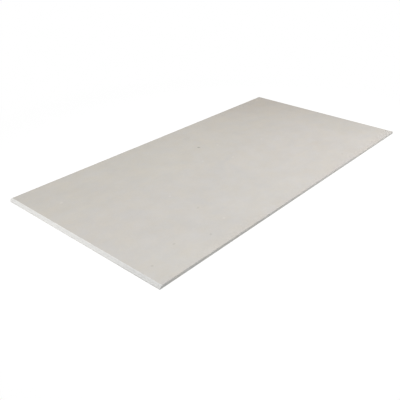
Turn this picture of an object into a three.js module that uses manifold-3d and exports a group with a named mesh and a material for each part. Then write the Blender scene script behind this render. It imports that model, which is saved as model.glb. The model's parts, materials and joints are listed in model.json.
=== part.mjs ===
// A sheet of drywall: a gypsum core in a wrap of face paper, with a liner on its back.
//
// Millimetres. X runs along the sheet, Y across it and Z up. The sheet lies face up, and
// the origin is the centre of its back.

import * as THREE from 'three';
import { mergeVertices } from 'three/addons/utils/BufferGeometryUtils.js';
import Module from 'manifold-3d';

const wasm = await Module();
wasm.setup();

// The sheet.
const LENGTH = 2438.4;
const WIDTH = 1219.2;
const THICKNESS = 15.9;

// The two papers.
const FACE_PAPER = 0.4;
const BACK_PAPER = 0.4;

// The long edges: the face slopes down to them, and the face paper is folded round them.
const TAPER_WIDTH = 50;
const TAPER_DEPTH = 0.5;
const FOLD_RADIUS = 1.2;
const FOLD_STEPS = 4;

// The seams on the back, where the liner laps over the folded strips of face paper.
const SEAM_INSET = 14;
const SEAM_LAP = 12;
const SEAM_RAMP = 3;

// The cut end, at -X: square up to the nose, then bevelled back to the face.
const NOSE_HEIGHT = 4.5;
const BEVEL_SETBACK = 18;

// How far a cutting tool runs past what it cuts.
const OVERRUN = 10;

const halfWidth = WIDTH / 2;
const seam = halfWidth - SEAM_INSET;
const flapEnd = seam - SEAM_LAP;
const taperAngle = Math.atan(TAPER_DEPTH / TAPER_WIDTH);

// The fold at the face touches the long edge and the taper, which fixes its centre's height.
const upperFoldHeight = THICKNESS
  - (FOLD_RADIUS + Math.sin(taperAngle) * (TAPER_WIDTH - FOLD_RADIUS)) / Math.cos(taperAngle);

// Sections are drawn in Y and Z and run along X. Cutters are drawn in X and Z and run along Y.
const alongX = new THREE.Matrix4().makeBasis(
  new THREE.Vector3(0, 1, 0), new THREE.Vector3(0, 0, 1), new THREE.Vector3(1, 0, 0));
const alongY = new THREE.Matrix4().makeBasis(
  new THREE.Vector3(1, 0, 0), new THREE.Vector3(0, 0, 1), new THREE.Vector3(0, -1, 0));

// A prism whose length is centred on the plane that its section is drawn in.
function prism(section, length, placing) {
  const geometry = new THREE.ExtrudeGeometry(section, { depth: length, bevelEnabled: false });
  return geometry.translate(0, 0, -length / 2).applyMatrix4(placing);
}

function toSolid(geometry) {
  geometry.deleteAttribute('normal');
  geometry.deleteAttribute('uv');
  const merged = mergeVertices(geometry);
  return new wasm.Manifold(new wasm.Mesh({
    numProp: 3,
    vertProperties: new Float32Array(merged.attributes.position.array),
    triVerts: new Uint32Array(merged.index.array),
  }));
}

function toGeometry(solid) {
  const { vertProperties, triVerts } = solid.getMesh();
  const geometry = new THREE.BufferGeometry();
  geometry.setAttribute('position', new THREE.BufferAttribute(vertProperties, 3));
  geometry.setIndex(new THREE.BufferAttribute(triVerts, 1));
  geometry.computeVertexNormals();
  return geometry;
}

// The face paper's line round the +Y edge, `depth` below its outer surface: from the end of
// the flap on the back, out over the seam, round the two folds and up the taper to the face.
function edgeLine(depth) {
  const line = new THREE.Path();
  const radius = FOLD_RADIUS - depth;
  line.moveTo(flapEnd, BACK_PAPER + depth);
  line.lineTo(seam, BACK_PAPER + depth);
  line.lineTo(seam + SEAM_RAMP, depth);
  line.absarc(halfWidth - FOLD_RADIUS, FOLD_RADIUS, radius, -Math.PI / 2, 0);
  line.absarc(halfWidth - FOLD_RADIUS, upperFoldHeight, radius, 0, Math.PI / 2 - taperAngle);
  line.lineTo(
    halfWidth - TAPER_WIDTH - depth * Math.tan(taperAngle / 2),
    THICKNESS - depth,
  );
  return line.getPoints(FOLD_STEPS);
}

// The same line from one flap's end, over the whole face, to the other's.
function wrapLine(depth) {
  const right = edgeLine(depth);
  const left = right.map((point) => new THREE.Vector2(-point.x, point.y)).reverse();
  return [...right, ...left];
}

const outside = wrapLine(0);
const inside = wrapLine(FACE_PAPER);

function coreSection() {
  return new THREE.Shape([
    ...inside,
    new THREE.Vector2(-flapEnd, BACK_PAPER),
    new THREE.Vector2(flapEnd, BACK_PAPER),
  ]);
}

function facePaperSection() {
  return new THREE.Shape([...outside, ...[...inside].reverse()]);
}

function backPaperSection() {
  return new THREE.Shape([
    new THREE.Vector2(-seam, 0),
    new THREE.Vector2(seam, 0),
    new THREE.Vector2(seam, BACK_PAPER),
    new THREE.Vector2(-seam, BACK_PAPER),
  ]);
}

// The wedge that the bevel takes off the cut end, above the line from the nose to the face.
function bevelWedge() {
  const slope = (THICKNESS - NOSE_HEIGHT) / BEVEL_SETBACK;
  const nearX = -LENGTH / 2 - OVERRUN;
  const farX = -LENGTH / 2 + BEVEL_SETBACK + OVERRUN;
  const top = THICKNESS + OVERRUN * slope;
  return new THREE.Shape([
    new THREE.Vector2(nearX, NOSE_HEIGHT - OVERRUN * slope),
    new THREE.Vector2(farX, top),
    new THREE.Vector2(nearX, top),
  ]);
}

const wedge = toSolid(prism(bevelWedge(), WIDTH + 2 * OVERRUN, alongY));

function layer(name, section, look) {
  const solid = toSolid(prism(section, LENGTH, alongX)).subtract(wedge);
  const mesh = new THREE.Mesh(toGeometry(solid), new THREE.MeshStandardMaterial(look));
  mesh.name = name;
  return mesh;
}

const sheet = new THREE.Group();
sheet.name = 'drywall_sheet';
sheet.add(
  layer('gypsum_core', coreSection(), { color: 0xe9e6e0, roughness: 0.95, metalness: 0 }),
  layer('face_paper', facePaperSection(), { color: 0xd0ccc4, roughness: 0.85, metalness: 0 }),
  layer('back_paper', backPaperSection(), { color: 0xb5aa99, roughness: 0.9, metalness: 0 }),
);

export default sheet;
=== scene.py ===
"""A sheet of drywall: a plaster core folded into face paper, with a liner on its back."""

import json
import math
from contextlib import contextmanager
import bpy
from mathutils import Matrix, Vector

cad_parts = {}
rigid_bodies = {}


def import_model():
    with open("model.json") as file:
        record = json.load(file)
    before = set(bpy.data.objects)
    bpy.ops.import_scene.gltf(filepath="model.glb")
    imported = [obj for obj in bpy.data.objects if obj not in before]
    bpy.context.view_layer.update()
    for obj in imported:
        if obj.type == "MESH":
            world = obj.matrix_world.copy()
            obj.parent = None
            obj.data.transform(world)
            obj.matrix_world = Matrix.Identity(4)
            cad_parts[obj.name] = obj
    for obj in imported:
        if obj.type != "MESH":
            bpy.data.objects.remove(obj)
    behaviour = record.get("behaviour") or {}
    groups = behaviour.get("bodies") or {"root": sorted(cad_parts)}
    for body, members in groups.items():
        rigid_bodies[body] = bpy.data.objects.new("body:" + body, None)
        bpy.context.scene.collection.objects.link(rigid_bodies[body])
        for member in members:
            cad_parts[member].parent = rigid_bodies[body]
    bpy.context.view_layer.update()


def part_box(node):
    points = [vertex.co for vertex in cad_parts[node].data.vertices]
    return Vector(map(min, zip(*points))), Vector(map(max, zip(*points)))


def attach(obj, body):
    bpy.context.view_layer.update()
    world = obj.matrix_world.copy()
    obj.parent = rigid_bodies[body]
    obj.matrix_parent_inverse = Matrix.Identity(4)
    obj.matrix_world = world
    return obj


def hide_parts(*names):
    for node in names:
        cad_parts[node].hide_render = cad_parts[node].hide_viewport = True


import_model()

from types import SimpleNamespace

import bmesh
import bpy
from bpy.props import FloatProperty, FloatVectorProperty, PointerProperty
from mathutils import Vector

bl_info = {
    "name": "Drywall Sheet",
    "version": (1, 0, 0),
    "blender": (4, 5, 0),
    "location": "View3D > Sidebar > Drywall",
    "description": "Builds a sheet of drywall from its core and papers, and a stage for it",
    "category": "Add Mesh",
}

lowest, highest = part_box("face_paper")


def shade(red, green, blue):
    """A display colour, 0 to 255 each, as the linear colour that Blender mixes."""
    linear = []
    for level in (red, green, blue):
        level /= 255
        linear.append(level / 12.92 if level <= 0.04045 else ((level + 0.055) / 1.055) ** 2.4)
    return tuple(linear)


def length(name, default, description):
    return FloatProperty(name=name, default=default, description=description, unit="LENGTH", min=0)


def amount(name, default, description):
    return FloatProperty(name=name, default=default, description=description, min=0)


def finish_colour(name, default, description):
    return FloatVectorProperty(
        name=name, default=shade(*default), description=description,
        subtype="COLOR", size=3, min=0, max=1)


class DRYWALL_PG_sizes(bpy.types.PropertyGroup):
    long: length("Length", highest.x - lowest.x, "Length of the sheet")
    wide: length("Width", highest.y - lowest.y, "Width of the sheet")
    thick: length("Thickness", highest.z - lowest.z, "Thickness away from the tapers")
    face_paper: length("Face paper", 0.0004, "Thickness of the face paper")
    back_paper: length("Back paper", 0.0004, "Thickness of the back liner")
    taper_width: length("Taper width", 0.05, "Strip along each long edge that slopes down")
    taper_depth: length("Taper depth", 0.0005, "How much thinner the sheet is at its long edges")
    fold_radius: length("Fold radius", 0.0012, "Radius of the face paper's folds")
    seam_inset: length("Seam inset", 0.014, "From a long edge to the edge of the liner")
    seam_lap: length("Seam lap", 0.012, "How far the folded flap runs in under the liner")
    seam_ramp: length("Seam ramp", 0.003, "Strip in which the flap rises to the liner's back")
    setback: length("Setback", 0.017, "How far the rounded cut end runs back along the face")
    lean: length("Lean", 0.0045, "How far the cut end leans back below its rounding")
    plaster_step: length("Plaster spacing", 0.0012, "Distance between points on the bare plaster")
    paper_step: length("Paper spacing", 0.002, "Distance between points on a cut paper edge")


class DRYWALL_PG_finish(bpy.types.PropertyGroup):
    plaster: finish_colour("Plaster", (237, 236, 233), "Bare plaster at the two ends")
    face_paper: finish_colour("Face paper", (207, 204, 200), "Face paper, outside")
    cut_paper: finish_colour("Cut paper", (196, 190, 180), "Cut edge of either paper")
    back_paper: finish_colour("Back paper", (178, 168, 152), "Liner on the back")
    marks: amount("Handling marks", 1.0, "Strength of the rubs and spots on the face")


class DRYWALL_PG_stage(bpy.types.PropertyGroup):
    floor_size: length("Floor size", 60.0, "Side of the square floor")
    world_light: amount("World light", 0.42, "Strength of the even light from all round")
    turn: FloatProperty(
        name="Camera turn", default=math.radians(-48.70), subtype="ANGLE",
        description="Direction of the camera round the sheet")
    rise: FloatProperty(
        name="Camera rise", default=math.radians(29.20), subtype="ANGLE",
        description="Height of the camera above the floor, as an angle")
    reach: length("Camera distance", 3.099, "From the camera to the place it looks at")
    lens: FloatProperty(
        name="Lens", default=48.22, subtype="DISTANCE_CAMERA",
        description="Focal length in millimetres on a 36 mm sensor")


# Modelling.

# The power of the curve by which the cut end rounds over: 2 is an ellipse, and more is squarer.
ROUNDING = 3

# Rows of faces round each fold, down the side between the folds, and on the back.
FOLD_ROWS = 4
SIDE_ROWS = 13
BACK_ROWS = 7
RAMP_ROWS = 2
FLAP_ROWS = 10
STEP_ROWS = 1

# Divisions of the liner along the sheet.
LINER_DIVISIONS = 61

# How near in metres counts as at a place, and how near the two mirrored halves are joined.
NEAR = 1e-6
JOIN_NEAR = 1e-5

# Edges flatter than this are shaded smooth.
SMOOTH_BELOW = math.radians(40)


def select_only(piece):
    if bpy.context.mode != "OBJECT":
        bpy.ops.object.mode_set(mode="OBJECT")
    bpy.ops.object.select_all(action="DESELECT")
    piece.select_set(True)
    bpy.context.view_layer.objects.active = piece


@contextmanager
def editing(piece):
    select_only(piece)
    bpy.ops.object.mode_set(mode="EDIT")
    yield
    bpy.ops.object.mode_set(mode="OBJECT")


def choose(kind, wanted):
    """Selects the points, edges or faces of the edited piece whose corners all pass a test."""
    bpy.ops.mesh.select_mode(type=kind)
    bpy.ops.mesh.select_all(action="DESELECT")
    mesh = bpy.context.object.data
    shape = bmesh.from_edit_mesh(mesh)
    items = {"VERT": shape.verts, "EDGE": shape.edges, "FACE": shape.faces}[kind]
    chosen = [
        item for item in items
        if all(wanted(corner.co) for corner in ([item] if kind == "VERT" else item.verts))]
    if not chosen:
        raise RuntimeError("nothing to select")
    for item in chosen:
        item.select_set(True)
    bmesh.update_edit_mesh(mesh)


def apply(piece, kind, **settings):
    """Adds a modifier with these settings and applies it."""
    select_only(piece)
    modifier = piece.modifiers.new(kind.title(), kind)
    for name, value in settings.items():
        setattr(modifier, name, value)
    bpy.ops.object.modifier_apply(modifier=modifier.name)


def steps(distance, spacing):
    return max(1, round(distance / spacing))


def carry(start, end, count):
    """Extrudes the selected edges from one place in Y and Z to another, in equal steps."""
    across, up = ((last - first) / count for first, last in zip(start, end))
    for _ in range(count):
        bpy.ops.mesh.extrude_region_move(TRANSFORM_OT_translate={"value": (0, across, up)})


def fold_line(sizes, depth):
    """Places in Y and Z along the face paper, `depth` inside its outer side, at the +Y edge."""
    half = sizes.wide / 2
    slope = math.atan2(sizes.taper_depth, sizes.taper_width)
    drop = sizes.fold_radius + math.sin(slope) * (sizes.taper_width - sizes.fold_radius)
    upper = sizes.thick - drop / math.cos(slope)
    bend = half - sizes.fold_radius
    radius = sizes.fold_radius - depth
    seam = half - sizes.seam_inset
    under_liner = sizes.back_paper + depth
    return SimpleNamespace(
        slope=slope,
        flat=(half - sizes.taper_width - depth * math.tan(slope / 2), sizes.thick - depth),
        taper=(bend + radius * math.sin(slope), upper + radius * math.cos(slope)),
        upper_bend=(bend, upper),
        side_top=(bend + radius, upper),
        side_foot=(bend + radius, sizes.fold_radius),
        lower_bend=(bend, sizes.fold_radius),
        back=(bend, depth),
        ramp=(seam + sizes.seam_ramp, depth),
        seam=(seam, under_liner),
        flap=(seam - sizes.seam_lap, under_liner),
    )


def fold_half(name, sizes, depth, spacing, closed):
    """Half of the folded face as a sheet without thickness, closed over the back or not."""
    line = fold_line(sizes, depth)
    flat, height = line.flat
    columns = steps(flat, spacing)
    taper = steps(line.taper[0] - flat, spacing)
    bpy.ops.object.select_all(action="DESELECT")
    bpy.ops.mesh.primitive_grid_add(
        x_subdivisions=2, y_subdivisions=columns, size=1, location=(0, flat / 2, height))
    bpy.ops.transform.resize(value=(sizes.long, flat, 1))
    bpy.ops.object.transform_apply()
    piece = bpy.context.object
    piece.name = piece.data.name = name
    with editing(piece):
        choose("EDGE", lambda place: place.y > flat - NEAR)
        carry(line.flat, line.taper, taper)
        bpy.ops.mesh.spin(
            steps=FOLD_ROWS, angle=math.pi / 2 - line.slope,
            center=(0, *line.upper_bend), axis=(1, 0, 0))
        carry(line.side_top, line.side_foot, SIDE_ROWS)
        bpy.ops.mesh.spin(
            steps=FOLD_ROWS, angle=math.pi / 2, center=(0, *line.lower_bend), axis=(1, 0, 0))
        carry(line.back, line.ramp, BACK_ROWS)
        carry(line.ramp, line.seam, RAMP_ROWS)
        carry(line.seam, line.flap, FLAP_ROWS)
        if closed:
            step = (line.flap[0], sizes.back_paper)
            carry(line.flap, step, STEP_ROWS)
            # The back gets as many rows as the face, so that a grid can close each end.
            rows_so_far = BACK_ROWS + RAMP_ROWS + FLAP_ROWS + STEP_ROWS
            carry(step, (0, sizes.back_paper), columns + taper - rows_so_far)
    return piece


def mirror_half(piece):
    """Adds the other long edge, and turns the faces outwards."""
    apply(piece, "MIRROR", use_axis=(False, True, False), use_clip=True, merge_threshold=JOIN_NEAR)
    with editing(piece):
        bpy.ops.mesh.select_all(action="SELECT")
        bpy.ops.mesh.remove_doubles(threshold=NEAR)
        bpy.ops.mesh.normals_make_consistent(inside=False)
    face = max(piece.data.polygons, key=lambda polygon: polygon.center.z)
    if face.normal.z < 0:
        with editing(piece):
            bpy.ops.mesh.select_all(action="SELECT")
            bpy.ops.mesh.flip_normals()


def plaster_ends(piece, sizes):
    """Closes the two ends of the core with grids that follow its section."""
    line = fold_line(sizes, sizes.face_paper)
    half = sizes.long / 2
    inner = line.taper[0] + 5 * NEAR

    def top(place):
        return place.z > line.taper[1] - 2 * NEAR and abs(place.y) < inner

    def back(place):
        return place.z < line.seam[1] + 2 * NEAR and abs(place.y) < inner

    with editing(piece):
        for end in (half, -half):
            choose("EDGE", lambda place: (
                abs(place.x - end) < NEAR and (top(place) or back(place))))
            bpy.ops.mesh.fill_grid()
        bpy.ops.mesh.select_all(action="SELECT")
        bpy.ops.mesh.normals_make_consistent(inside=False)


def round_over(piece, sizes):
    """Sets the cut end back with height: it leans at first, and then rounds over to the face."""
    line = fold_line(sizes, sizes.face_paper)
    flat, top = line.flat
    leaning = sizes.lean / sizes.setback
    select_only(piece)
    group = piece.vertex_groups.new(name="rounding")
    for point in piece.data.vertices:
        if point.co.x < NEAR - sizes.long / 2:
            tapered = max(0, abs(point.co.y) - flat) * math.tan(line.slope)
            level = min(1, point.co.z / (top - tapered))
            rounded = 1 - (1 - level ** ROUNDING) ** (1 / ROUNDING)
            group.add([point.index], leaning * level + (1 - leaning) * rounded, "REPLACE")
    apply(piece, "DISPLACE", vertex_group="rounding", direction="X", strength=sizes.setback,
          mid_level=0)


def group_faces(piece, name, wanted, shrink=0):
    """Names the points of the faces that pass a test, without the outermost `shrink` rows."""
    with editing(piece):
        choose("FACE", wanted)
        for _ in range(shrink):
            bpy.ops.mesh.select_less()
        bpy.ops.object.vertex_group_assign_new()
    piece.vertex_groups[-1].name = name


def grain(name, size, depth=2):
    texture = bpy.data.textures.new(name, "CLOUDS")
    texture.noise_scale = size
    texture.noise_depth = depth
    return texture


def wear(piece, group, axis, reach, texture):
    """Moves a group of points along an axis by a share of `reach` that the texture gives."""
    apply(piece, "DISPLACE", vertex_group=group, direction=axis, strength=reach,
          texture=texture, texture_coords="LOCAL", mid_level=0)


def wall(piece, thickness):
    """Gives a sheet its thickness, on its inner side."""
    apply(piece, "SOLIDIFY", thickness=thickness, offset=-1, use_even_offset=True)


def end_tests(sizes):
    """Tests for places on the cut end, and on the square end."""
    half = sizes.long / 2

    def cut_end(place):
        return place.x < sizes.setback + NEAR - half

    def square_end(place):
        return place.x > half - NEAR

    return cut_end, square_end


def dress(piece, body, slot, *materials):
    """Gives a finished piece its materials and its body; its slot is not used."""
    piece.data.materials.clear()
    for material in materials:
        piece.data.materials.append(material)
    select_only(piece)
    bpy.ops.object.shade_smooth_by_angle(angle=SMOOTH_BELOW)
    piece.vertex_groups.clear()
    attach(piece, body)


def paint_faces(piece, index, wanted):
    """Gives the faces that pass a test the material in a numbered slot."""
    with editing(piece):
        choose("FACE", wanted)
        piece.active_material_index = index
        bpy.ops.object.material_slot_assign()


def add_slots(piece, count):
    for _ in range(count):
        piece.data.materials.append(None)


# Materials.

# Nearly all of a noise lies between these two levels.
NOISE_LOW = 0.25
NOISE_HIGH = 0.75

# The share of a dot's and of a mark's radius that is full strength, before its soft edge.
DOT_CORE = 0.6
MARK_CORE = 0.45

# How the nodes of a material are set out.
NODES_IN_A_ROW = 12
NODE_SPACE_ACROSS = 260
NODE_SPACE_DOWN = 320


def new_material(name, roughness, gloss):
    material = bpy.data.materials.new(name)
    material.use_nodes = True
    shader = material.node_tree.nodes["Principled BSDF"]
    shader.inputs["Roughness"].default_value = roughness
    shader.inputs["Specular IOR Level"].default_value = gloss
    return material, material.node_tree, shader


def node(tree, kind, inputs=None, **settings):
    """Adds a node with these settings, and links or sets its inputs."""
    made = tree.nodes.new("ShaderNode" + kind)
    for name, value in settings.items():
        setattr(made, name, value)
    for name, value in (inputs or {}).items():
        if isinstance(value, bpy.types.NodeSocket):
            tree.links.new(value, made.inputs[name])
        else:
            made.inputs[name].default_value = value
    return made


def arrange(tree):
    """Sets the nodes out in columns, so that the tree can be read."""
    for number, made in enumerate(tree.nodes):
        row, column = divmod(number, NODES_IN_A_ROW)
        made.location = (NODE_SPACE_ACROSS * column, -NODE_SPACE_DOWN * row)


def object_place(tree):
    return node(tree, "TexCoord").outputs["Object"]


def scaled(tree, place, sizes):
    """Coordinates in which a patch of these sizes is one unit across."""
    return node(tree, "VectorMath", {0: place, 1: [1 / size for size in sizes]},
                operation="MULTIPLY").outputs[0]


def clouds(tree, place, sizes, detail=2.0, roughness=0.5):
    """Soft noise from 0 to 1 with patches of these sizes along X, Y and Z."""
    return node(tree, "TexNoise", {
        "Vector": scaled(tree, place, sizes), "Scale": 1.0,
        "Detail": detail, "Roughness": roughness}).outputs["Fac"]


def ranged(tree, value, low, high, start=0.0, end=1.0, curve="SMOOTHSTEP"):
    return node(tree, "MapRange", {
        "Value": value, "From Min": low, "From Max": high, "To Min": start, "To Max": end},
        interpolation_type=curve).outputs["Result"]


def maths(tree, operation, first, second):
    return node(tree, "Math", {0: first, 1: second}, operation=operation).outputs[0]


def tinted(tree, colour, factor, tint):
    """Colour multiplied by a tint, as far as the factor says."""
    if isinstance(tint, tuple):
        tint = (*tint, 1)
    # A Mix node's colours are its inputs 6 and 7 and its output 2.
    return node(tree, "Mix", {0: factor, 6: colour, 7: tint},
                data_type="RGBA", blend_type="MULTIPLY").outputs[2]


def banded(tree, height, bands):
    """A grey tint by height, through the levels given for some heights, the two ends first."""
    share = maths(tree, "DIVIDE", height, highest.z)
    ramp = node(tree, "ValToRGB", {"Fac": share})
    stops = ramp.color_ramp.elements
    for number, (place, level) in enumerate(bands):
        stop = stops[number] if number < 2 else stops.new(place / highest.z)
        stop.position = place / highest.z
        stop.color = (level, level, level, 1)
    return ramp.outputs["Color"]


def varied(tree, colour, parts):
    """Colour made lighter and darker by several noises, each with its share of lightness."""
    total = None
    for value, share in parts:
        part = ranged(tree, value, NOISE_LOW, NOISE_HIGH, -share, share, "LINEAR")
        total = part if total is None else maths(tree, "ADD", total, part)
    return node(tree, "VectorMath", {"Vector": colour, "Scale": maths(tree, "ADD", total, 1.0)},
                operation="SCALE").outputs[0]


def dots(tree, place, spacing, least, most, share):
    """A mask of round dots, one in each of a share of the cells, from 0 to 1."""
    cells = node(tree, "TexVoronoi", {
        "Vector": scaled(tree, place, (spacing, spacing, spacing)), "Scale": 1.0})
    chance = node(tree, "SeparateColor", {"Color": cells.outputs["Color"]})
    reach = ranged(tree, chance.outputs["Green"], 0, 1, least / spacing, most / spacing, "LINEAR")
    near = maths(tree, "DIVIDE", cells.outputs["Distance"], reach)
    inside = ranged(tree, near, DOT_CORE, 1.0, 1.0, 0.0)
    kept = maths(tree, "LESS_THAN", chance.outputs["Red"], share)
    return maths(tree, "MULTIPLY", inside, kept)


def bumped(tree, shader, height, distance):
    bump = node(tree, "Bump", {"Height": height, "Distance": distance, "Strength": 1.0})
    tree.links.new(bump.outputs["Normal"], shader.inputs["Normal"])


# Places of marks on the face, in metres along X and Y from the middle of the sheet.
SCUFF = ((0.05, 0.28),)
RUBS = (
    (0.46, 0.04), (0.17, 0.21), (0.08, 0.0), (-0.10, 0.11), (-0.57, -0.45), (-0.59, -0.06),
    (-1.05, 0.35))
GRUBBY_SPOTS = ((0.61, -0.52), (-0.58, -0.27), (-0.74, -0.50), (-0.93, -0.42), (-1.13, -0.47))
DULL_PATCH = ((0.11, 0.45),)
BROWN_STAIN = ((0.66, -0.29),)
BROAD_MIDDLE = ((-0.03, -0.17),)
BROAD_SQUARE_END = ((1.22, -0.22),)
BROAD_LEFT_EDGE = ((-0.74, 0.56),)

# Each kind of mark: its places, half length and half width in metres, turn in degrees and tint.
# The broad ones are faint.
MARKS = (
    (SCUFF, 0.014, 0.010, -50, (0.60, 0.60, 0.58)),
    (RUBS, 0.014, 0.009, 20, (1.08, 1.08, 1.09)),
    (GRUBBY_SPOTS, 0.012, 0.009, 15, (0.90, 0.90, 0.89)),
    (DULL_PATCH, 0.045, 0.030, 5, (0.97, 0.97, 0.97)),
    (BROWN_STAIN, 0.060, 0.040, -15, (0.99, 0.98, 0.965)),
    (BROAD_MIDDLE, 0.60, 0.40, 0, (0.983, 0.983, 0.983)),
    (BROAD_SQUARE_END, 0.38, 0.42, 0, (0.972, 0.974, 0.964)),
    (BROAD_LEFT_EDGE, 0.32, 0.17, 0, (1.020, 1.020, 1.020)),
)


def spot(tree, place, middle, half_length, half_width, turn):
    """A soft-edged oval mask at a place on the face."""
    local = node(tree, "Mapping", {
        "Vector": place, "Location": (*middle, highest.z),
        "Rotation": (0, 0, math.radians(turn)), "Scale": (half_length, half_width, 1)},
        vector_type="TEXTURE")
    away = node(tree, "VectorMath", {0: local.outputs[0]}, operation="LENGTH").outputs["Value"]
    return ranged(tree, away, MARK_CORE, 1.0, 1.0, 0.0)


def smudged(tree, place, size, reach):
    """The place moved about by a noise, so that what is drawn there has an uneven outline."""
    noise = node(tree, "TexNoise", {
        "Vector": scaled(tree, place, (size, size, size)), "Scale": 1.0, "Detail": 2.0})
    about = node(tree, "VectorMath", {
        0: noise.outputs["Color"], 1: (reach, reach, 0), 2: (-reach / 2, -reach / 2, 0)},
        operation="MULTIPLY_ADD")
    return node(tree, "VectorMath", {0: place, 1: about.outputs[0]}, operation="ADD").outputs[0]


def marked(tree, colour, place, strength):
    """Colour with the marks on it, as strong as is asked."""
    uneven = smudged(tree, place, size=0.008, reach=0.012)
    for places, half_length, half_width, turn, tint in MARKS:
        for middle in places:
            mask = spot(tree, uneven, middle, half_length, half_width, turn)
            colour = tinted(tree, colour, maths(tree, "MULTIPLY", mask, strength), tint)
    return colour


# A direction in X and Y that slants over the sheet, towards the square end and the left edge.
SLANT = (0.67, 0.74)


def age_tints_and_painted_light(tree, colour, place):
    """Handling and age with painted light: yellowing, a darker square end and left edge, and
    painted shade on the right fold.

    Right and left are as seen from the cut end, so right is towards -Y.
    """
    along, across, _ = node(tree, "SeparateXYZ", {0: place}).outputs
    slanting = node(tree, "VectorMath", {0: place, 1: (*SLANT, 0)}, operation="DOT_PRODUCT")
    from_middle = slanting.outputs["Value"]

    def both(first, second):
        return maths(tree, "MULTIPLY", first, second)

    def near_right(first, second):
        """From 0 to 1 between two distances from the right edge."""
        return ranged(tree, across, lowest.y + first, lowest.y + second)

    age_and_light_tints = (
        # Warmer towards the square end, yellower to the left, and paler towards the cut end with
        # painted light.
        (ranged(tree, along, -0.3, 0.8), (0.98, 0.97, 0.965)),
        (ranged(tree, along, -0.5, -1.1), (1.024, 1.022, 1.022)),
        (ranged(tree, across, -0.1, 0.3), (1.0, 0.997, 0.978)),
        # Painted shade, a little yellowed, towards one corner, and painted light towards the
        # opposite one.
        (ranged(tree, from_middle, 0.62, 1.15), (0.965, 0.95, 0.94)),
        (ranged(tree, from_middle, -0.75, -1.2), (1.042, 1.048, 1.042)),
        # Darker along the square end and the left edge.
        (ranged(tree, along, highest.x - 0.016, highest.x - 0.002), (0.955, 0.95, 0.94)),
        (ranged(tree, across, highest.y - 0.016, highest.y - 0.002), (0.955, 0.95, 0.94)),
        # A line of painted shade along the right edge's fold, and a cooler painted shade on the
        # side below it.
        (both(near_right(0.0035, 0.0015), near_right(0.0004, 0.0012)), (0.78, 0.78, 0.79)),
        (near_right(0.0012, 0.0004), (0.98, 1.0, 1.02)),
        # Painted shade deepens along the right edge towards the cut end, and the face near that
        # corner is darker too.
        (both(near_right(0.0055, 0.0025), ranged(tree, along, 0.5, -1.1, curve="LINEAR")),
         (0.87, 0.875, 0.88)),
        (both(ranged(tree, along, -1.05, -1.17), ranged(tree, across, -0.1, -0.45)),
         (0.97, 0.97, 0.975)),
    )
    for mask, tint in age_and_light_tints:
        colour = tinted(tree, colour, mask, tint)
    return colour


def face_paper(finish):
    """Light grey paper: cloudy, finely fibred along the sheet, with a few handling marks, tints of
    age, and painted light and shade.
    """
    material, tree, shader = new_material("face_paper", 0.85, 0.2)
    place = object_place(tree)
    fibres = clouds(tree, place, (0.004, 0.0004, 0.0004), detail=3, roughness=0.6)
    cross = clouds(tree, place, (0.0006, 0.003, 0.003), detail=2, roughness=0.6)
    mottle = clouds(tree, place, (0.014, 0.010, 0.010), detail=3, roughness=0.55)
    patches = clouds(tree, place, (0.16, 0.13, 0.13), detail=3.5, roughness=0.75)
    warmth = clouds(tree, place, (0.11, 0.09, 0.09), detail=3.0, roughness=0.7)
    streaks = clouds(tree, place, (1.6, 0.030, 0.030), detail=2, roughness=0.5)
    drift = clouds(tree, place, (0.7, 0.5, 0.5), detail=2, roughness=0.5)
    colour = varied(tree, finish.face_paper, [
        (fibres, 0.035), (cross, 0.020), (mottle, 0.012), (patches, 0.032),
        (streaks, 0.006), (drift, 0.010)])
    colour = tinted(tree, colour, ranged(tree, warmth, NOISE_LOW, NOISE_HIGH), (1.02, 1.0, 0.96))
    specks = dots(tree, place, spacing=0.011, least=0.0002, most=0.0005, share=0.35)
    colour = tinted(tree, colour, specks, (0.75, 0.7, 0.62))
    # The age tints also hold painted light and painted shade.
    colour = marked(tree, age_tints_and_painted_light(tree, colour, place), place, finish.marks)
    tree.links.new(colour, shader.inputs["Base Color"])
    roughness = ranged(tree, mottle, NOISE_LOW, NOISE_HIGH, 0.8, 0.92)
    tree.links.new(roughness, shader.inputs["Roughness"])
    height = maths(tree, "ADD", fibres, maths(tree, "MULTIPLY", cross, 0.6))
    bumped(tree, shader, height, distance=0.00006)
    arrange(tree)
    return material


def cut_paper(finish):
    """The cut edge of paper: pale torn fibres in layers."""
    material, tree, shader = new_material("cut_paper", 0.95, 0.1)
    place = object_place(tree)
    tufts = clouds(tree, place, (0.0015, 0.0015, 0.0003), detail=3, roughness=0.6)
    patches = clouds(tree, place, (0.02, 0.02, 0.02), detail=2, roughness=0.5)
    colour = varied(tree, finish.cut_paper, [(tufts, 0.10), (patches, 0.04)])
    tree.links.new(colour, shader.inputs["Base Color"])
    bumped(tree, shader, tufts, distance=0.0002)
    arrange(tree)
    return material


def back_paper(finish):
    """Grey-brown recycled liner: blotchy, with fibres and flecks."""
    material, tree, shader = new_material("back_paper", 0.9, 0.2)
    place = object_place(tree)
    fibres = clouds(tree, place, (0.005, 0.0005, 0.0005), detail=3, roughness=0.65)
    blotches = clouds(tree, place, (0.018, 0.012, 0.012), detail=4, roughness=0.6)
    streaks = clouds(tree, place, (1.2, 0.022, 0.022), detail=2, roughness=0.5)
    drift = clouds(tree, place, (0.8, 0.5, 0.5), detail=2, roughness=0.5)
    colour = varied(tree, finish.back_paper, [
        (fibres, 0.06), (blotches, 0.035), (streaks, 0.02), (drift, 0.02)])
    dark_flecks = dots(tree, place, spacing=0.009, least=0.0003, most=0.0008, share=0.4)
    colour = tinted(tree, colour, dark_flecks, (0.6, 0.55, 0.5))
    pale_flecks = dots(tree, place, spacing=0.013, least=0.0003, most=0.0007, share=0.3)
    colour = tinted(tree, colour, pale_flecks, (1.25, 1.25, 1.25))
    tree.links.new(colour, shader.inputs["Base Color"])
    bumped(tree, shader, fibres, distance=0.0001)
    arrange(tree)
    return material
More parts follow.
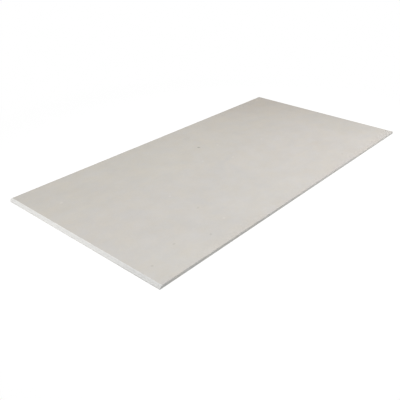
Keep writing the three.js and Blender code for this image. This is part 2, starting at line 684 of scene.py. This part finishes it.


# How light the plaster is painted at some heights: painted shade at its foot and below its
# rounding, and a painted highlight just under the face paper.
PAINTED_PLASTER_SHADING = (
    (0.0, 0.90), (0.0154, 1.06), (0.003, 0.995), (0.008, 1.0), (0.0108, 0.945), (0.0140, 0.96))


def plaster(finish):
    """Bare plaster: chalky, with air bubbles, grit and faint strokes of the rasp, and painted
    light and shade by height and across the end.
    """
    material, tree, shader = new_material("plaster", 0.95, 0.15)
    place = object_place(tree)
    grit = clouds(tree, place, (0.0012, 0.0012, 0.0012), detail=4, roughness=0.7)
    lumps = clouds(tree, place, (0.006, 0.006, 0.006), detail=3, roughness=0.6)
    drift = clouds(tree, place, (0.12, 0.12, 0.12), detail=2, roughness=0.5)
    strokes = clouds(tree, place, (0.0008, 0.03, 0.0008), detail=3, roughness=0.6)
    uneven = smudged(tree, place, size=0.0009, reach=0.0005)
    bubbles = dots(tree, uneven, spacing=0.0016, least=0.00015, most=0.0006, share=0.6)
    colour = varied(tree, finish.plaster, [(grit, 0.03), (lumps, 0.03), (drift, 0.015)])
    colour = tinted(tree, colour, bubbles, (0.82, 0.8, 0.77))
    _, across, up = node(tree, "SeparateXYZ", {0: place}).outputs
    # Painted shade at the foot and below the rounding, and a painted highlight at the top.
    colour = tinted(tree, colour, 1.0, banded(tree, up, PAINTED_PLASTER_SHADING))
    # Painted shade on the upper part of the plaster, deeper towards -Y.
    upper = ranged(tree, up, 0.010, 0.014)
    upper_shade = maths(tree, "MULTIPLY", upper, ranged(tree, across, 0.45, -0.55))
    # Painted shade towards -Y, and more painted shade at the foot there.
    right = ranged(tree, across, -0.1, -0.5)
    foot = maths(tree, "MULTIPLY", ranged(tree, up, 0.006, 0.002), right)
    colour = tinted(tree, colour, right, (0.94, 0.945, 0.95))
    colour = tinted(tree, colour, foot, (0.88, 0.885, 0.89))
    colour = tinted(tree, colour, upper_shade, (0.92, 0.92, 0.925))
    tree.links.new(colour, shader.inputs["Base Color"])
    height = maths(tree, "ADD", grit, maths(tree, "MULTIPLY", strokes, 0.8))
    height = maths(tree, "SUBTRACT", height, bubbles)
    bumped(tree, shader, height, distance=0.0003)
    arrange(tree)
    return material


def floor_material():
    """Pale floor that the camera, gloss and glass see as white, but for its shadows."""
    material, tree, shader = new_material("pale_floor", 0.9, 0.0)
    shader.inputs["Base Color"].default_value = (0.8, 0.8, 0.8, 1)
    lift = node(tree, "Emission", {"Color": (1, 1, 1, 1), "Strength": FLOOR_LIFT})
    near = node(tree, "MixShader", {0: FLOOR_SHADE, 1: lift.outputs[0], 2: shader.outputs[0]})
    white = node(tree, "Emission", {"Color": (1, 1, 1, 1), "Strength": 1.0})
    away = node(tree, "VectorMath", {0: object_place(tree)}, operation="LENGTH")
    far = ranged(tree, away.outputs["Value"], FLOOR_FADE_START, FLOOR_FADE_END)
    pale = node(tree, "MixShader", {0: far, 1: near.outputs[0], 2: white.outputs[0]})
    seen = node(tree, "MixShader", {
        0: seen_directly(tree), 1: shader.outputs[0], 2: pale.outputs[0]})
    tree.links.new(seen.outputs[0], tree.nodes["Material Output"].inputs["Surface"])
    arrange(tree)
    return material


def seen_directly(tree):
    """1 for a ray from the camera, and for one that gloss or glass sends on, and else 0."""
    ray = node(tree, "LightPath")
    either = maths(tree, "MAXIMUM", ray.outputs["Is Camera Ray"], ray.outputs["Is Glossy Ray"])
    return maths(tree, "MAXIMUM", either, ray.outputs["Is Transmission Ray"])


# Stage.

# Round soft lamps: name, place, the place it is aimed at, width and watts.
LAMPS = (
    ("key_lamp", (0.0, -1.1, 3.0), (0, 0, 0), 1.6, 50.0),
    ("back_lamp", (0.0, 1.1, 3.0), (0, 0, 0), 1.6, 6.0),
    ("side_lamp", (1.6, -1.2, 1.0), (0, 0, 0), 1.0, 5.5),
    ("end_lamp", (-2.6, 0.6, 0.35), (-1.2, 0, 0), 1.0, 9.0),
    ("corner_lamp", (-2.4, -0.9, 0.5), (-1.2, 0, 0), 1.0, 3.0),
)

# What the floor shows in sight: a share of its own shade, and the rest a plain glow.
FLOOR_SHADE = 0.25
FLOOR_LIFT = 1.14

# Between these distances from the middle, the floor in sight fades to plain white.
FLOOR_FADE_START = 1.5
FLOOR_FADE_END = 2.1

# The place that the camera looks at.
LOOKED_AT = (-0.4847, -0.2019, 0)


def towards(turn, rise):
    """The unit vector towards something at this direction and height."""
    level = math.cos(rise)
    return Vector((math.sin(turn) * level, -math.cos(turn) * level, math.sin(rise)))


def aim(thing, back):
    thing.rotation_mode = "QUATERNION"
    thing.rotation_quaternion = back.to_track_quat("Z", "Y")


class DRYWALL_OT_plaster_core(bpy.types.Operator):
    """Models the plaster core, bare at its two ends"""
    bl_idname = "drywall.plaster_core"
    bl_label = "Plaster Core"

    def execute(self, context):
        sizes = context.scene.drywall_sizes
        core = fold_half("plaster_core", sizes, sizes.face_paper, sizes.plaster_step, True)
        mirror_half(core)
        plaster_ends(core, sizes)
        round_over(core, sizes)
        cut_end, square_end = end_tests(sizes)
        group_faces(core, "cut", cut_end)
        group_faces(core, "cut_middle", cut_end, 1)
        group_faces(core, "square", square_end)
        group_faces(core, "square_middle", square_end, 1)
        broad = grain("uneven_cut", size=0.03)
        crumbs = grain("crumbs", size=0.0035, depth=3)
        wear(core, "cut", "X", reach=0.0004, texture=broad)
        wear(core, "cut_middle", "NORMAL", reach=-0.0008, texture=crumbs)
        wear(core, "square", "X", reach=-0.0003, texture=broad)
        wear(core, "square_middle", "X", reach=-0.0005, texture=crumbs)
        dress(core, "root", "gypsum", plaster(context.scene.drywall_finish))
        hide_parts("gypsum_core")
        return {"FINISHED"}


class DRYWALL_OT_folded_paper(bpy.types.Operator):
    """Models the face paper, folded round the long edges to the seams on the back"""
    bl_idname = "drywall.folded_paper"
    bl_label = "Folded Face Paper"

    def execute(self, context):
        sizes = context.scene.drywall_sizes
        finish = context.scene.drywall_finish
        paper = fold_half("folded_paper", sizes, 0, sizes.paper_step, False)
        mirror_half(paper)
        wall(paper, sizes.face_paper)
        round_over(paper, sizes)
        cut_end, square_end = end_tests(sizes)
        add_slots(paper, 2)
        paint_faces(paper, 1, cut_end)
        paint_faces(paper, 1, square_end)
        group_faces(paper, "cut", cut_end)
        lip_height = sizes.thick - sizes.taper_depth - sizes.face_paper
        group_faces(paper, "lip", lambda place: cut_end(place) and place.z > lip_height)
        group_faces(paper, "square", square_end)
        frayed = grain("frayed_cut", size=0.004, depth=3)
        torn = grain("torn_lip", size=0.012, depth=3)
        wear(paper, "cut", "X", reach=0.0004, texture=frayed)
        wear(paper, "lip", "X", reach=0.0014, texture=torn)
        wear(paper, "square", "X", reach=-0.0002, texture=frayed)
        dress(paper, "root", "face_paper", face_paper(finish), cut_paper(finish))
        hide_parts("face_paper")
        return {"FINISHED"}


class DRYWALL_OT_back_liner(bpy.types.Operator):
    """Models the liner that is glued over the flaps on the back"""
    bl_idname = "drywall.back_liner"
    bl_label = "Back Liner"

    def execute(self, context):
        sizes = context.scene.drywall_sizes
        finish = context.scene.drywall_finish
        width = sizes.wide - 2 * sizes.seam_inset
        bpy.ops.object.select_all(action="DESELECT")
        bpy.ops.mesh.primitive_grid_add(
            x_subdivisions=LINER_DIVISIONS, y_subdivisions=steps(width, 2 * sizes.paper_step),
            size=1, location=(0, 0, sizes.back_paper))
        bpy.ops.transform.resize(value=(sizes.long, width, 1))
        bpy.ops.object.transform_apply()
        liner = context.object
        liner.name = liner.data.name = "back_liner"
        wall(liner, sizes.back_paper)
        cut_end, square_end = end_tests(sizes)
        glued = width / 2 - NEAR
        add_slots(liner, 2)
        for test in (cut_end, square_end, lambda place: abs(place.y) > glued):
            paint_faces(liner, 1, test)
        group_faces(liner, "cut", cut_end)
        group_faces(liner, "square", square_end)
        group_faces(liner, "right", lambda place: place.y < -glued)
        group_faces(liner, "left", lambda place: place.y > glued)
        frayed = grain("frayed_liner", size=0.005, depth=3)
        wander = grain("wandering_edge", size=0.25, depth=1)
        wear(liner, "cut", "X", reach=0.0004, texture=frayed)
        wear(liner, "square", "X", reach=-0.0002, texture=frayed)
        wear(liner, "right", "Y", reach=0.0006, texture=wander)
        wear(liner, "left", "Y", reach=-0.0006, texture=wander)
        dress(liner, "root", "back_paper", back_paper(finish), cut_paper(finish))
        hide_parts("back_paper")
        return {"FINISHED"}


class DRYWALL_OT_stage(bpy.types.Operator):
    """Lays a pale floor under the sheet and lights it softly"""
    bl_idname = "drywall.stage"
    bl_label = "Stage"

    def execute(self, context):
        stage = context.scene.drywall_stage
        bpy.ops.object.select_all(action="DESELECT")
        bpy.ops.mesh.primitive_plane_add(size=stage.floor_size)
        floor = context.object
        floor.name = "floor"
        floor.data.materials.append(floor_material())
        world = bpy.data.worlds.new("studio")
        context.scene.world = world
        world.use_nodes = True
        tree = world.node_tree
        even = tree.nodes["Background"]
        even.inputs["Color"].default_value = (1, 1, 1, 1)
        even.inputs["Strength"].default_value = stage.world_light
        white = node(tree, "Background", {"Color": (1, 1, 1, 1), "Strength": 1.0})
        seen = node(tree, "MixShader", {
            0: seen_directly(tree), 1: even.outputs[0], 2: white.outputs[0]})
        tree.links.new(seen.outputs[0], tree.nodes["World Output"].inputs["Surface"])
        arrange(tree)
        for name, place, aimed_at, width, watts in LAMPS:
            bpy.ops.object.light_add(type="AREA", location=place)
            lamp = context.object
            lamp.name = lamp.data.name = name
            lamp.data.shape = "DISK"
            lamp.data.size = width
            lamp.data.energy = watts
            aim(lamp, Vector(place) - Vector(aimed_at))
            lamp.visible_camera = False
        context.scene.view_settings.view_transform = "Standard"
        return {"FINISHED"}


class DRYWALL_OT_camera(bpy.types.Operator):
    """Places the camera off the cut end, looking down on the sheet"""
    bl_idname = "drywall.camera"
    bl_label = "Camera"

    def execute(self, context):
        stage = context.scene.drywall_stage
        back = towards(stage.turn, stage.rise)
        bpy.ops.object.camera_add(location=Vector(LOOKED_AT) + back * stage.reach)
        camera = context.object
        camera.name = camera.data.name = "camera"
        camera.data.lens = stage.lens
        aim(camera, back)
        context.scene.camera = camera
        return {"FINISHED"}


class DRYWALL_PT_panel(bpy.types.Panel):
    """Sizes, colours and steps of the sheet"""
    bl_idname = "DRYWALL_PT_panel"
    bl_label = "Drywall Sheet"
    bl_space_type = "VIEW_3D"
    bl_region_type = "UI"
    bl_category = "Drywall"

    def draw(self, context):
        layout = self.layout
        layout.use_property_split = True
        for group in ("drywall_sizes", "drywall_finish", "drywall_stage"):
            settings = getattr(context.scene, group)
            box = layout.box()
            for name in settings.__annotations__:
                box.prop(settings, name)
        for operator in OPERATORS:
            layout.operator(operator.bl_idname)


GROUPS = {
    "drywall_sizes": DRYWALL_PG_sizes,
    "drywall_finish": DRYWALL_PG_finish,
    "drywall_stage": DRYWALL_PG_stage,
}
OPERATORS = (
    DRYWALL_OT_plaster_core,
    DRYWALL_OT_folded_paper,
    DRYWALL_OT_back_liner,
    DRYWALL_OT_stage,
    DRYWALL_OT_camera,
)


def register():
    for name, group in GROUPS.items():
        bpy.utils.register_class(group)
        setattr(bpy.types.Scene, name, PointerProperty(type=group))
    for operator in OPERATORS:
        bpy.utils.register_class(operator)
    bpy.utils.register_class(DRYWALL_PT_panel)


def unregister():
    bpy.utils.unregister_class(DRYWALL_PT_panel)
    for operator in reversed(OPERATORS):
        bpy.utils.unregister_class(operator)
    for name, group in GROUPS.items():
        delattr(bpy.types.Scene, name)
        bpy.utils.unregister_class(group)


def main():
    register()
    bpy.ops.drywall.plaster_core()
    bpy.ops.drywall.folded_paper()
    bpy.ops.drywall.back_liner()
    bpy.ops.drywall.stage()
    bpy.ops.drywall.camera()


if __name__ == "__main__":
    main()
